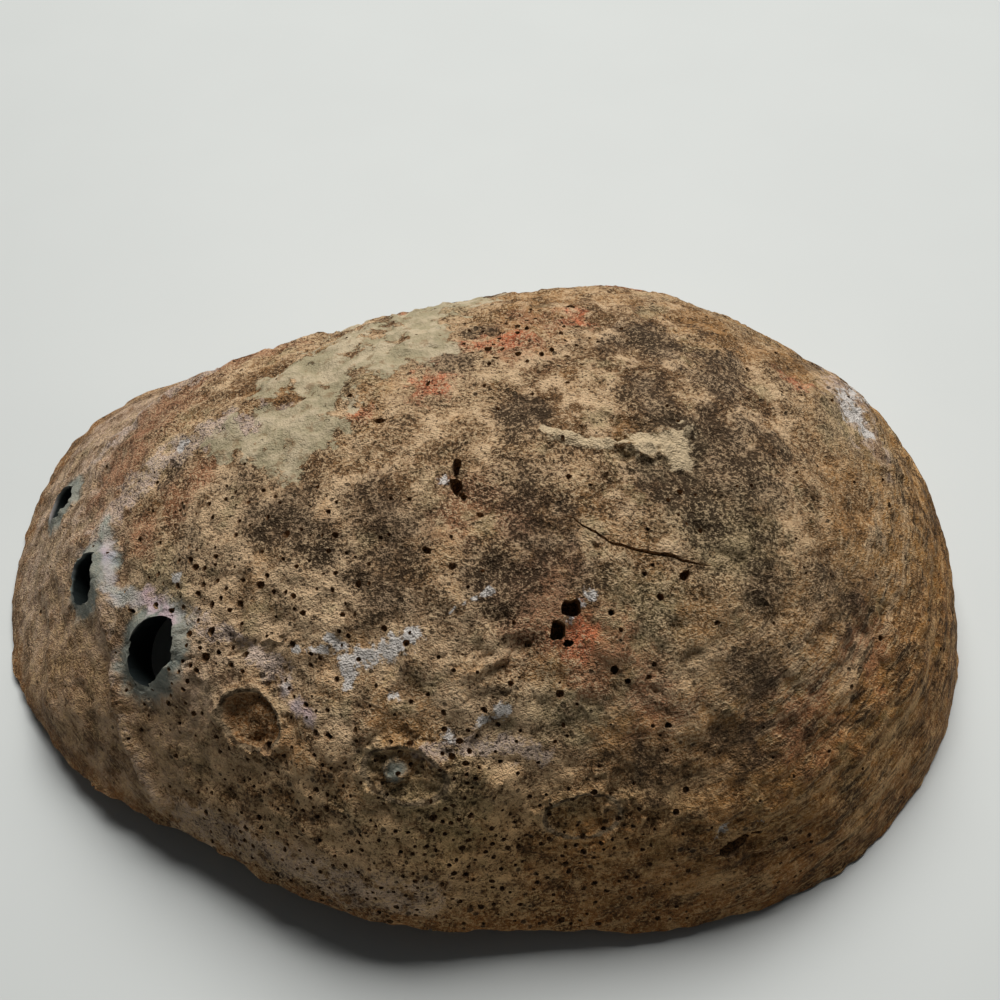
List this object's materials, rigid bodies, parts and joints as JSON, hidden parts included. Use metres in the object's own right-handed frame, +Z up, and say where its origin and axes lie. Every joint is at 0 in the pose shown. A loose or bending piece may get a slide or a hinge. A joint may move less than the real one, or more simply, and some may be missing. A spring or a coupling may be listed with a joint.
{
  "type": "abalone shell",
  "caption": "Old ear-shaped sea shell standing on its rim as a hollow dome, with a row of breathing holes along one side and a broad inner lip.",
  "frame": {"origin": "middle of the shell's bounding box at the level of the surface it rests on", "axes": "+X along the length towards the worn spire, +Y towards the outer lip, away from the row of holes, +Z up through the dome"},
  "size_m": [0.1922, 0.1506, 0.058],
  "materials": {
    "shell": "rough, chalky and pitted outside, tan to dark brown with grey-green and coral red patches; glossy silver, pink and green nacre inside"
  },
  "bodies": {
    "root": {"shell": "shell"}
  },
  "joints": []
}
